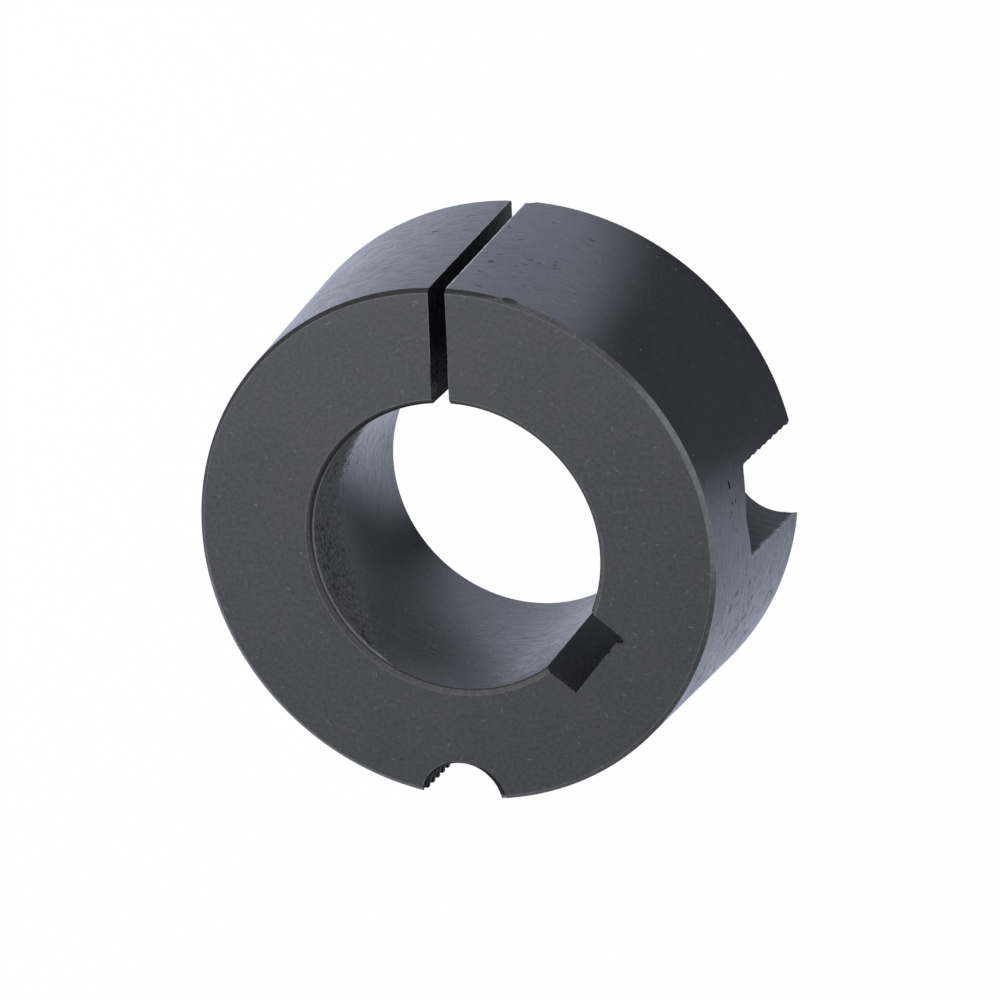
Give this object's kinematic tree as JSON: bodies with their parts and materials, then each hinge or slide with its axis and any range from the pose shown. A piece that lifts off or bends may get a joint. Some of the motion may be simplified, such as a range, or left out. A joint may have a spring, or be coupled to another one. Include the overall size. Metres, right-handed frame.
{
  "type": "taper bush",
  "caption": "Split tapered bush with a keyed bore and screw half-holes at its rim; drawn into a hub's taper, it clamps a pulley or sprocket to a shaft.",
  "frame": {"origin": "middle of the large-end face, on the bore's axis", "axes": "+Z along the bore's axis to the small end, +Y to the side with the saw cut, +X to its right seen from above the small end"},
  "size_m": [0.0568, 0.0568, 0.0254],
  "materials": {
    "black_cast_iron": "black phosphate, oiled, turned all over"
  },
  "bodies": {
    "root": {"taper_bush": "black_cast_iron"}
  },
  "joints": []
}
